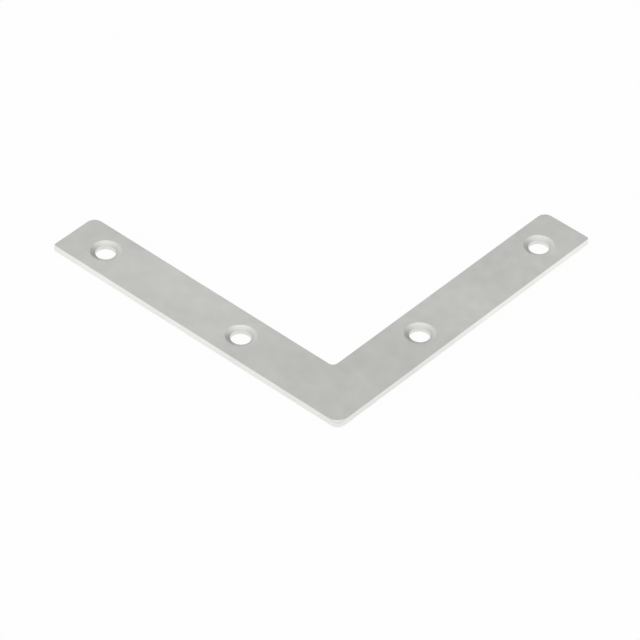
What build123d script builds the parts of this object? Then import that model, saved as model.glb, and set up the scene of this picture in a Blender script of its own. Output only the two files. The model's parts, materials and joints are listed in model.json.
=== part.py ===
from build123d import *

import math
import os

# A flat corner brace: an L blanked from steel sheet, with countersunk screw holes along both
# arms. Sizes are in millimetres. The origin is on the back face, where the centrelines of the
# two arms cross. The arms run along +X and +Y, and +Z leaves the countersunk face.

# The blank
arm_length = 100.0  # outside of the corner to the end of an arm
arm_width = 15.5
plate_thickness = 2.0

# The screw holes, countersunk from the front
hole_diameter = 5.5
countersink_diameter = 8.3  # the mouth, on the front face
countersink_angle = 130.0  # included angle of the cone
corner_hole_inset = 40.5  # outside of the corner to the centre of the arm's inner hole
end_hole_inset = 11.5  # end of the arm to the centre of its outer hole

# The corners of the outline. The punch drew the outer ones down, so towards the front they grow
# rounder, each by its own roll.
heel_radius = 2.4  # outside of the bend
heel_roll = 1.4
tip_outer_radius = 0.5  # end of an arm, on the heel's side
tip_outer_roll = 0.2
tip_inner_radius = 2.0  # end of an arm, on the throat's side
tip_inner_roll = 0.7
throat_radius = 1.6  # inside of the bend
corner_roll_depth = 0.8  # the rolls start this far below the front face

# The rims left by the press
front_roll_radius = 0.1  # edge rounded where the punch entered
back_break = 0.12  # burr taken off the other side


def outline_corners(roll):
    """Each corner of the L with its rounding, anticlockwise from the heel. The roll is a share,
    0 low on the plate and 1 at the front face."""
    outside = -arm_width / 2
    inside = arm_width / 2
    end = arm_length - arm_width / 2
    heel = heel_radius + roll * heel_roll
    tip_outer = tip_outer_radius + roll * tip_outer_roll
    tip_inner = tip_inner_radius + roll * tip_inner_roll
    return [
        ((outside, outside), heel),
        ((end, outside), tip_outer),
        ((end, inside), tip_inner),
        ((inside, inside), throat_radius),
        ((inside, end), tip_inner),
        ((outside, end), tip_outer),
    ]


def outline(height, roll):
    """The L as a flat face at a height above the back."""
    with BuildSketch(Plane.XY.offset(height)) as flat:
        with BuildLine():
            Polyline(*[point for point, radius in outline_corners(roll)], close=True)
        make_face()
        for point, radius in outline_corners(roll):
            fillet(vertices().sort_by_distance(point)[0], radius=radius)
    return flat.sketch


def blank():
    """The L before its holes are cut: straight below the corner rolls, lofted through them, with
    its rolled front rim and deburred back rim."""
    roll_foot = plate_thickness - corner_roll_depth
    with BuildPart() as plate:
        extrude(outline(0, 0), amount=roll_foot)
        loft([outline(roll_foot, 0), outline(plate_thickness, 1)], ruled=True)
        fillet(plate.faces().sort_by(Axis.Z)[-1].edges(), radius=front_roll_radius)
        chamfer(plate.faces().sort_by(Axis.Z)[0].edges(), length=back_break)
    return plate.part


def screw_hole_centres():
    """Two holes on the centreline of each arm, measured from the origin."""
    inner = corner_hole_inset - arm_width / 2
    outer = arm_length - end_hole_inset - arm_width / 2
    return [(inner, 0), (outer, 0), (0, inner), (0, outer)]


def screw_hole_cutter():
    """The hole with its countersink, standing on the back face and open past the front."""
    hole_radius = hole_diameter / 2
    mouth_radius = countersink_diameter / 2
    cone_depth = (mouth_radius - hole_radius) / math.tan(math.radians(countersink_angle / 2))
    with BuildPart() as cutter:
        with BuildSketch(Plane.XZ):
            with BuildLine():
                Polyline(
                    (0, 0),
                    (hole_radius, 0),
                    (hole_radius, plate_thickness - cone_depth),
                    (mouth_radius, plate_thickness),
                    (mouth_radius, 2 * plate_thickness),
                    (0, 2 * plate_thickness),
                    close=True,
                )
            make_face()
        revolve(axis=Axis.Z)
    return cutter.part


def brace_plate():
    """The finished brace, one piece."""
    cutter = screw_hole_cutter()
    plate = blank()
    for x, y in screw_hole_centres():
        plate -= Pos(x, y, 0) * cutter
    return plate


os.makedirs("parts", exist_ok=True)
export_step(brace_plate(), "parts/brace_plate.step")
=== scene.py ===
import json
import math

import bmesh
import bpy
from mathutils import Matrix, Vector, noise


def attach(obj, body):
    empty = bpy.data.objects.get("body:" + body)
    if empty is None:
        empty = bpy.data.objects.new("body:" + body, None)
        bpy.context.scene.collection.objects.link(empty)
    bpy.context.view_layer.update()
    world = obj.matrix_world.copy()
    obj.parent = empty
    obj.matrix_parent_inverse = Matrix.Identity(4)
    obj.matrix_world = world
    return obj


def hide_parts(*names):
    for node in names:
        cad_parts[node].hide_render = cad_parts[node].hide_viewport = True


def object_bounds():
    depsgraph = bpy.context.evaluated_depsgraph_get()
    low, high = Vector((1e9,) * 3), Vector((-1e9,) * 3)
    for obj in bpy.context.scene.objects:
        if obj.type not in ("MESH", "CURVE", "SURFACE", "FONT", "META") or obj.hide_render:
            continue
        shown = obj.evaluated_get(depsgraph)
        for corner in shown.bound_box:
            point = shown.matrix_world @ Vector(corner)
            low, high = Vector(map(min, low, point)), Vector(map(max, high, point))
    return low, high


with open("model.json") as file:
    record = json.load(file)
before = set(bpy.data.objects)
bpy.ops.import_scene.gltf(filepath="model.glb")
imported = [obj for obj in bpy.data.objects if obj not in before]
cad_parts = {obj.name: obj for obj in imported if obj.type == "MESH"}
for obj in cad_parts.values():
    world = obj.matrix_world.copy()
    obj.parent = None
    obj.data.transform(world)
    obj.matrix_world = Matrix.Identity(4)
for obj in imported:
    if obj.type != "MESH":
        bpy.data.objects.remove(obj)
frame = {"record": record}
cadLow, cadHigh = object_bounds()  # the plain model's box, the plate follows it

mm = 0.001
scene = bpy.context.scene
scene.view_settings.view_transform = "Standard"


def vertsOf(items):
    return [item for item in items if isinstance(item, bmesh.types.BMVert)]


def makePiece(bm, name):
    mesh = bpy.data.meshes.new(name)
    bm.to_mesh(mesh)
    bm.free()
    piece = bpy.data.objects.new(name, mesh)
    scene.collection.objects.link(piece)
    return piece


# The plate. It is modelled in millimetres and scaled to metres at the end.
plateShape = {
    "heelRadius": 2.4,  # outside of the bend
    "heelRoll": 1.4,  # the front is this much rounder there
    "throatRadius": 1.6,  # inside of the bend
    "tipOuterRadius": 0.5,  # arm's end, on the heel's side
    "tipOuterRoll": 0.2,
    "tipInnerRadius": 2.0,  # arm's end, on the throat's side
    "tipInnerRoll": 0.7,
    "cornerSteps": 10,
    "armSteps": 150,  # columns along each long side
    "endSteps": 18,  # columns across an arm's end
    "frontRoll": 0.1,  # front rim, drawn down by the punch
    "frontRollSteps": 6,
    "cornerRollDepth": 0.8,  # how far down the roll reaches at the outer corners
    "cornerRollSteps": 4,
    "backBreak": 0.12,
    "backBreakSteps": 3,
    "tearTop": 0.78,  # below this the shear tore the metal instead of cutting it
    "tearSteps": 6,
    "tearInset": 0.03,
    "lipMiddle": 0.05,  # the lip where torn metal turns to cut, its middle above the tear's top
    "lipShare": 0.3,  # how much of the inset is left there
    "lipTop": 0.12,  # above the tear's top too
    "tearWander": 0.10,  # how far the lip climbs and dips
    "tearReach": 0.35,  # how far above and below the lip the side follows it
    "tearPatch": 3.0,  # length of one climb
    "tearSeed": 7.3,  # another number gives other climbs
    "tearRough": 0.014,
    "tearGrain": 0.35,
    "tearUpright": 0.9,  # only walls at least this upright are torn
    "rimStrip": 0.10,  # flat strip kept beside every rim
    "sameSpot": 1e-4,  # points nearer than this are one
}

holeShape = {
    "mouthRadius": 4.15,
    "coneAngle": 130.0,  # included
    "mouthRound": 0.06,
    "throatRound": 0.08,
    "roundSteps": 4,
    "turnedRings": 5,  # faint rings left by the countersink
    "ringPoints": 6,
    "ringDepth": 0.004,
    "breakoutHeight": 0.40,  # the punch broke through wider below this
    "breakoutFlare": 0.06,
    "backRound": 0.12,
    "collar": 2,  # flat ring outside each rounded rim, as a multiple of the rounding
    "spinSteps": 120,
}

armWidth = -2 * cadLow.x / mm  # the arms' centrelines cross at the origin
armEnd = cadHigh.x / mm
plateTop = cadHigh.z / mm
screwHoles = [mount for mount in frame["record"]["mounts"] if mount["kind"] == "bore"]


def addOutline(bm, inset, height, roll):
    # roll goes from 0 below the drawn-down corners to 1 at the front
    shape = plateShape
    low, high, end = inset - armWidth / 2, armWidth / 2 - inset, armEnd - inset
    heel = shape["heelRadius"] + roll * shape["heelRoll"] - inset
    tipOuter = shape["tipOuterRadius"] + roll * shape["tipOuterRoll"] - inset
    tipInner = shape["tipInnerRadius"] + roll * shape["tipInnerRoll"] - inset
    corners = [
        (low, low, heel),
        (end, low, tipOuter),
        (end, high, tipInner),
        (high, high, shape["throatRadius"] + inset),
        (high, end, tipInner),
        (low, end, tipOuter),
    ]
    before = set(bm.verts)
    points = [bm.verts.new((x, y, height)) for x, y, radius in corners]
    for i, point in enumerate(points):
        bm.edges.new((points[i - 1], point))
    for point, (x, y, radius) in zip(points, corners):
        bmesh.ops.bevel(bm, geom=[point], offset=radius, offset_type="OFFSET", affect="VERTICES",
                        segments=shape["cornerSteps"], profile=0.5, material=-1)
    return [edge for edge in bm.edges if edge.verts[0] not in before]


def splitSides(bm):
    # columns along the straight stretches, so that the torn edge has points to move: first the
    # long sides of the arms, then their ends, which are the longest edges left
    for shortest, steps in ((2 * armWidth, plateShape["armSteps"]), (armWidth / 3, plateShape["endSteps"])):
        sides = [edge for edge in bm.edges if edge.calc_length() > shortest]
        bmesh.ops.subdivide_edges(bm, edges=sides, cuts=steps - 1, use_grid_fill=True)


def plateLoops():
    # inset, height and corner roll of every loop round the plate, from the back to the front
    shape = plateShape
    inset, broken, rim = shape["tearInset"], shape["backBreak"], shape["frontRoll"]
    side = []
    for i in range(shape["backBreakSteps"] + 1):
        turn = math.pi / 2 * i / shape["backBreakSteps"]
        side.append((inset + broken * (1 - math.sin(turn)), broken * (1 - math.cos(turn))))
    for i in range(1, shape["tearSteps"] + 1):
        side.append((inset, broken + (shape["tearTop"] - broken) * i / shape["tearSteps"]))
    side.append((inset * shape["lipShare"], shape["tearTop"] + shape["lipMiddle"]))
    side.append((0, shape["tearTop"] + shape["lipTop"]))
    rollFoot = plateTop - shape["cornerRollDepth"]
    rollTop = plateTop - rim
    for i in range(shape["cornerRollSteps"] + 1):
        side.append((0, rollFoot + (rollTop - rollFoot) * i / shape["cornerRollSteps"]))
    for i in range(1, shape["frontRollSteps"] + 1):
        turn = math.pi / 2 * i / shape["frontRollSteps"]
        side.append((rim * (1 - math.cos(turn)), rollTop + rim * math.sin(turn)))
    return [(inward, height, max(0, (height - rollFoot) / shape["cornerRollDepth"]) ** 2)
            for inward, height in side]


def roughenTear(bm, sheared):
    shape = plateShape
    tearLine = shape["tearTop"] + shape["lipMiddle"]
    tornBelow = shape["tearTop"] + shape["lipMiddle"] / 2
    bmesh.ops.recalc_face_normals(bm, faces=bm.faces)
    bm.normal_update()
    for vert in bm.verts:
        outward = Vector((vert.normal.x, vert.normal.y, 0))
        vert[sheared] = max(0, outward.length * 2 - 1)  # none on the countersinks' slopes
        if outward.length < shape["tearUpright"]:
            continue
        outward.normalize()
        along = vert.co / shape["tearPatch"]
        nearLine = max(0, 1 - abs(vert.co.z - tearLine) / shape["tearReach"])
        inTear = vert.co.z < tornBelow
        vert.co.z += shape["tearWander"] * nearLine * noise.noise((along.x, along.y, shape["tearSeed"]))
        if inTear:
            vert.co -= outward * shape["tearRough"] * (1 + noise.noise(vert.co / shape["tearGrain"]))


def addHoleProfile(bm, holeRadius):
    # half a section of the hole, from the front face down the countersink to the back face
    shape = holeShape
    mouth, backRadius = shape["mouthRadius"], holeRadius + shape["breakoutFlare"]
    coneFoot = plateTop - (mouth - holeRadius) / math.tan(math.radians(shape["coneAngle"] / 2))
    profile = [
        (mouth + shape["mouthRound"] * shape["collar"], plateTop, 0),
        (mouth, plateTop, shape["mouthRound"]),
        (holeRadius, coneFoot, shape["throatRound"]),
        (holeRadius, shape["breakoutHeight"], 0),
        (backRadius, 0, shape["backRound"]),
        (backRadius + shape["backRound"] * shape["collar"], 0, 0),
    ]
    points = [bm.verts.new((radius, 0, height)) for radius, height, rounding in profile]
    for start, end in zip(points, points[1:]):
        bm.edges.new((start, end))
    for point, (radius, height, rounding) in zip(points, profile):
        if rounding:
            bmesh.ops.bevel(bm, geom=[point], offset=rounding, offset_type="OFFSET", affect="VERTICES",
                            segments=shape["roundSteps"], profile=0.5, material=-1)


def turnRings(bm):
    # the countersink left faint rings on the cone, the widest line of the profile
    shape = holeShape
    cone = max(bm.edges, key=lambda edge: abs(edge.verts[0].co.x - edge.verts[1].co.x))
    low, high = sorted((vert.co.copy() for vert in cone.verts), key=lambda co: co.z)
    facing = Vector((low.z - high.z, 0, high.x - low.x)).normalized()
    steps = shape["turnedRings"] * shape["ringPoints"]
    cuts = bmesh.ops.subdivide_edges(bm, edges=[cone], cuts=steps - 1)
    for vert in vertsOf(cuts["geom_inner"]):
        share = (vert.co - low).length / (high - low).length
        ring = (1 - math.cos(2 * math.pi * shape["turnedRings"] * share)) / 2
        vert.co -= facing * shape["ringDepth"] * ring


def addScrewHoles(bm, holeShadeMask):
    # all four are alike: one is spun at the origin, and copies of it go to their places
    centres = [Vector((hole["pos_m"][0], hole["pos_m"][1], 0)) / mm for hole in screwHoles]
    holeRadius = screwHoles[0]["dims"]["r_mm"]
    addHoleProfile(bm, holeRadius)
    # marks the hole walls, whose colour gets painted shade
    for vert in bm.verts:
        vert[holeShadeMask] = vert.co.x < holeRadius + holeShape["throatRound"]
    turnRings(bm)
    bmesh.ops.spin(bm, geom=bm.verts[:] + bm.edges[:], cent=(0, 0, 0), axis=(0, 0, 1), dvec=(0, 0, 0),
                   angle=2 * math.pi, steps=holeShape["spinSteps"], use_merge=True, use_duplicate=False)
    spun = bm.verts[:] + bm.edges[:] + bm.faces[:]
    for centre in centres[1:]:
        copied = bmesh.ops.duplicate(bm, geom=spun)["geom"]
        bmesh.ops.translate(bm, vec=centre, verts=vertsOf(copied))
    bmesh.ops.translate(bm, vec=centres[0], verts=vertsOf(spun))


def fillFlat(bm, height):
    rim = [edge for edge in bm.edges if len(edge.link_faces) == 1
           and all(abs(vert.co.z - height) < plateShape["sameSpot"] for vert in edge.verts)]
    filled = bmesh.ops.triangle_fill(bm, use_beauty=True, use_dissolve=False, edges=rim, normal=(0, 0, 1))
    faces = [item for item in filled["geom"] if isinstance(item, bmesh.types.BMFace)]
    bmesh.ops.inset_region(bm, faces=faces, thickness=plateShape["rimStrip"], use_boundary=True,
                           use_even_offset=True)


def buildPlate():
    bm = bmesh.new()
    holeShadeMask = bm.verts.layers.float.new("holeShadeMask")
    sheared = bm.verts.layers.float.new("sheared")
    addScrewHoles(bm, holeShadeMask)
    below = None
    for inset, height, roll in plateLoops():
        loop = addOutline(bm, inset, height, roll)
        if below:
            bmesh.ops.bridge_loops(bm, edges=below + loop)
        below = loop
    splitSides(bm)
    roughenTear(bm, sheared)
    fillFlat(bm, plateTop)
    fillFlat(bm, 0)
    bmesh.ops.remove_doubles(bm, verts=bm.verts, dist=plateShape["sameSpot"])
    bmesh.ops.recalc_face_normals(bm, faces=bm.faces)
    for face in bm.faces:
        face.smooth = True
    bmesh.ops.scale(bm, vec=(mm, mm, mm), verts=bm.verts)
    openEdges = [edge for edge in bm.edges if len(edge.link_faces) != 2]
    print("plate:", len(bm.verts), "vertices,", len(bm.faces), "faces,", len(openEdges), "open edges")
    return makePiece(bm, "cornerBracePlate")


plate = buildPlate()
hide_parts("brace_plate")
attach(plate, "root")


# The finish: dull zinc plating over rolled sheet, with painted light on the cut sides and painted shade on
# the hole walls. Sizes and heights are in millimetres.
zincFinish = {
    "colour": (0.80, 0.80, 0.775),
    "roughness": 0.42,
    "roughnessSpread": 0.06,
    "roughnessSize": 3,
    "cloudSize": 45,  # broad paler and darker areas over the faces
    "cloudPlace": (0.27, -5.07, 0),  # in cloud sizes: a pale one on one arm, a dark one by the corner
    "cloudShade": 0.058,
    "mottleSize": 6,
    "mottleShade": 0.028,
    "grainSize": 0.35,
    "grainHeight": 0.0012,
    "streakWidth": 0.5,  # left along the sheet by the mill's rolls
    "streakStretch": 30,
    "streakHeight": 0.0008,
    "sidePaintedLight": 0.07,  # painted light: the cut sides are made this much paler, to look more brightly lit
    "holeWallPaintedShade": 0.14,  # painted shade: the walls of the holes are made this much darker than the cut sides, for the shadowed floor they would mirror under the plate
    "shearedRoughness": 0.34,
    "grooveWidth": 0.25,  # left down the cut metal by the punch
    "grooveStretch": 8,
    "grooveHeight": 0.004,
}
noiseLow, noiseHigh = 0.3, 0.7  # nearly all of a noise lies between these


def emptyTree(owner):
    owner.use_nodes = True
    owner.node_tree.nodes.clear()
    return owner.node_tree


def addNode(tree, kind, settings=None, values=None):
    node = tree.nodes.new(kind)
    for key, value in (settings or {}).items():
        setattr(node, key, value)
    for key, value in (values or {}).items():
        node.inputs[key].default_value = value
    return node


def addNoise(tree, place, size, detail, stretch=(1, 1, 1), shift=(0, 0, 0)):
    mapping = addNode(tree, "ShaderNodeMapping",
                      values={"Scale": [1 / (size * mm * s) for s in stretch], "Location": shift})
    tree.links.new(place, mapping.inputs["Vector"])
    texture = addNode(tree, "ShaderNodeTexNoise", values={"Scale": 1.0, "Detail": detail, "Roughness": 0.5})
    tree.links.new(mapping.outputs["Vector"], texture.inputs["Vector"])
    return texture.outputs["Fac"]


def addMath(tree, operation, first, second):
    node = addNode(tree, "ShaderNodeMath", {"operation": operation})
    for socket, value in zip(node.inputs, (first, second)):
        if isinstance(value, (int, float)):
            socket.default_value = value
        else:
            tree.links.new(value, socket)
    return node.outputs[0]


def addSpread(tree, value, middle, spread):
    # a noise, as the middle value give or take the spread
    limits = {"From Min": noiseLow, "From Max": noiseHigh,
              "To Min": middle - spread, "To Max": middle + spread}
    node = addNode(tree, "ShaderNodeMapRange", {"clamp": True}, limits)
    tree.links.new(value, node.inputs["Value"])
    return node.outputs["Result"]


def zincColourAndPaintedLight(tree, place, sheared, holeShadeMask):
    finish = zincFinish
    clouds = addNoise(tree, place, finish["cloudSize"], detail=1, shift=finish["cloudPlace"])
    mottle = addNoise(tree, place, finish["mottleSize"], detail=3)
    shade = addMath(tree, "MULTIPLY", addSpread(tree, clouds, 1, finish["cloudShade"]),
                    addSpread(tree, mottle, 1, finish["mottleShade"]))
    # painted light: the cut sides are made paler
    paintedPaler = addMath(tree, "ADD", addMath(tree, "MULTIPLY", sheared, finish["sidePaintedLight"]), 1)
    # painted shade: the hole walls are made darker
    paintedLightAndShade = addMath(tree, "SUBTRACT", paintedPaler, addMath(tree, "MULTIPLY", holeShadeMask, finish["holeWallPaintedShade"]))
    tint = addNode(tree, "ShaderNodeVectorMath", {"operation": "SCALE"}, {0: finish["colour"]})
    tree.links.new(addMath(tree, "MULTIPLY", shade, paintedLightAndShade), tint.inputs["Scale"])
    return tint.outputs["Vector"]


def zincRoughness(tree, place, sheared):
    finish = zincFinish
    patches = addNoise(tree, place, finish["roughnessSize"], detail=4)
    rolled = addSpread(tree, patches, finish["roughness"], finish["roughnessSpread"])
    change = addMath(tree, "MULTIPLY", sheared, finish["shearedRoughness"] - finish["roughness"])
    return addMath(tree, "ADD", rolled, change)


def zincBump(tree, place, sheared):
    finish = zincFinish
    grain = addMath(tree, "MULTIPLY",
                    addNoise(tree, place, finish["grainSize"], detail=3),
                    finish["grainHeight"] * mm)
    streaks = addMath(tree, "MULTIPLY",
                      addNoise(tree, place, finish["streakWidth"], detail=2,
                               stretch=(finish["streakStretch"], 1, 1)),
                      finish["streakHeight"] * mm)
    grooves = addMath(tree, "MULTIPLY",
                      addNoise(tree, place, finish["grooveWidth"], detail=2,
                               stretch=(1, 1, finish["grooveStretch"])),
                      finish["grooveHeight"] * mm)
    rolled = addMath(tree, "ADD", grain, streaks)
    height = addMath(tree, "ADD", rolled, addMath(tree, "MULTIPLY", grooves, sheared))
    bump = addNode(tree, "ShaderNodeBump", values={"Strength": 1.0, "Distance": 1.0})
    tree.links.new(height, bump.inputs["Height"])
    return bump.outputs["Normal"]


def makeZinc():
    material = bpy.data.materials.new("zincPlatedSteel")
    tree = emptyTree(material)
    output = addNode(tree, "ShaderNodeOutputMaterial")
    shader = addNode(tree, "ShaderNodeBsdfPrincipled", values={"Metallic": 1.0})
    place = addNode(tree, "ShaderNodeTexCoord").outputs["Object"]
    sheared = addNode(tree, "ShaderNodeAttribute", {"attribute_name": "sheared"}).outputs["Fac"]
    holeShadeMask = addNode(tree, "ShaderNodeAttribute", {"attribute_name": "holeShadeMask"}).outputs["Fac"]
    tree.links.new(zincColourAndPaintedLight(tree, place, sheared, holeShadeMask), shader.inputs["Base Color"])
    tree.links.new(zincRoughness(tree, place, sheared), shader.inputs["Roughness"])
    tree.links.new(zincBump(tree, place, sheared), shader.inputs["Normal"])
    tree.links.new(shader.outputs["BSDF"], output.inputs["Surface"])
    return material


plate.data.materials.append(makeZinc())
print("finish: zinc plating")


# The studio, in metres
studio = {
    "floorSize": 6.0,
    "floorDrop": 0.00002,  # keeps the floor just under the plate's back
    "floorColour": (0.95, 0.95, 0.95, 1),
    "shadowShare": 0.06,  # how much of the floor's white takes the shadow
    "softboxPlace": (-0.40, -0.40, 1.50),
    "softboxWidth": 2.6,
    "softboxPower": 6.0,
    "roomLevel": 0.78,
    "dimSide": (0.92, 0.25, 0.31),  # the room's darker end
    "dimming": 0.46,  # taken from the room's level there
    "dimSpread": 6,  # the higher, the narrower
}


def makePaleFloor():
    # white where the camera or the metal sees it, plain where it only passes light on
    material = bpy.data.materials.new("paleFloor")
    tree = emptyTree(material)
    output = addNode(tree, "ShaderNodeOutputMaterial")
    plain = addNode(tree, "ShaderNodeBsdfDiffuse", values={"Color": studio["floorColour"]})
    white = addNode(tree, "ShaderNodeEmission", values={"Color": (1, 1, 1, 1), "Strength": 1.0})
    seen = addNode(tree, "ShaderNodeMixShader", values={"Fac": studio["shadowShare"]})
    mixed = addNode(tree, "ShaderNodeMixShader")
    rays = addNode(tree, "ShaderNodeLightPath")
    viewed = addMath(tree, "MAXIMUM", rays.outputs["Is Camera Ray"], rays.outputs["Is Glossy Ray"])
    tree.links.new(white.outputs[0], seen.inputs[1])
    tree.links.new(plain.outputs[0], seen.inputs[2])
    tree.links.new(viewed, mixed.inputs["Fac"])
    tree.links.new(plain.outputs[0], mixed.inputs[1])
    tree.links.new(seen.outputs[0], mixed.inputs[2])
    tree.links.new(mixed.outputs[0], output.inputs["Surface"])
    return material


def layFloor():
    bm = bmesh.new()
    bmesh.ops.create_grid(bm, x_segments=1, y_segments=1, size=studio["floorSize"] / 2)
    bmesh.ops.translate(bm, vec=(0, 0, -studio["floorDrop"]), verts=bm.verts)
    floor = makePiece(bm, "studioFloor")
    floor.data.materials.append(makePaleFloor())


def hangSoftbox():
    light = bpy.data.lights.new("overheadBox", "AREA")
    light.shape = "SQUARE"
    light.size = studio["softboxWidth"]
    light.energy = studio["softboxPower"]
    softbox = bpy.data.objects.new("overheadBox", light)
    scene.collection.objects.link(softbox)
    softbox.location = studio["softboxPlace"]
    plateMiddle = Vector((armEnd, armEnd, 0)) * mm / 3  # about the middle of the L
    towards = plateMiddle - Vector(studio["softboxPlace"])
    softbox.rotation_euler = towards.to_track_quat("-Z", "Y").to_euler()


def lightRoom():
    # even light from all round, weaker towards one side, and white behind the object
    world = bpy.data.worlds.new("studioRoom")
    scene.world = world
    tree = emptyTree(world)
    output = addNode(tree, "ShaderNodeOutputWorld")
    rays = addNode(tree, "ShaderNodeLightPath")
    direction = addNode(tree, "ShaderNodeTexCoord").outputs["Generated"]
    towards = addNode(tree, "ShaderNodeVectorMath", {"operation": "DOT_PRODUCT"}, {1: studio["dimSide"]})
    tree.links.new(direction, towards.inputs[0])
    dim = addMath(tree, "POWER", addMath(tree, "MAXIMUM", towards.outputs["Value"], 0), studio["dimSpread"])
    lit = addMath(tree, "SUBTRACT", studio["roomLevel"], addMath(tree, "MULTIPLY", dim, studio["dimming"]))
    level = addMath(tree, "MAXIMUM", rays.outputs["Is Camera Ray"], lit)
    room = addNode(tree, "ShaderNodeBackground", values={"Color": (1, 1, 1, 1)})
    tree.links.new(level, room.inputs["Strength"])
    tree.links.new(room.outputs[0], output.inputs["Surface"])


layFloor()
hangSoftbox()
lightRoom()
print("studio: floor, softbox and room")


cameraPlace = {
    "aim": (18.632, 22.018, 2.0),  # mm, the point on the plate's face in the picture's middle
    "distance": 1301.21,  # mm
    "azimuth": -50.032,
    "elevation": 41.778,
    "roll": 2.602,
    "lens": 282.838,  # mm, as is the next
    "sensorWidth": 36,
    "clipStart": 0.05,  # metres, as is the next
    "clipEnd": 20,
}


def placeCamera():
    view = cameraPlace
    data = bpy.data.cameras.new("photoCamera")
    data.lens = view["lens"]
    data.sensor_width = view["sensorWidth"]
    data.clip_start = view["clipStart"]
    data.clip_end = view["clipEnd"]
    camera = bpy.data.objects.new("photoCamera", data)
    scene.collection.objects.link(camera)
    turn = (Matrix.Rotation(math.radians(view["azimuth"]), 4, "Z")
            @ Matrix.Rotation(math.radians(90 - view["elevation"]), 4, "X")
            @ Matrix.Rotation(math.radians(view["roll"]), 4, "Z"))
    back = turn @ Vector((0, 0, view["distance"] * mm))
    camera.matrix_world = Matrix.Translation(Vector(view["aim"]) * mm + back) @ turn
    scene.camera = camera


placeCamera()
print("camera placed")
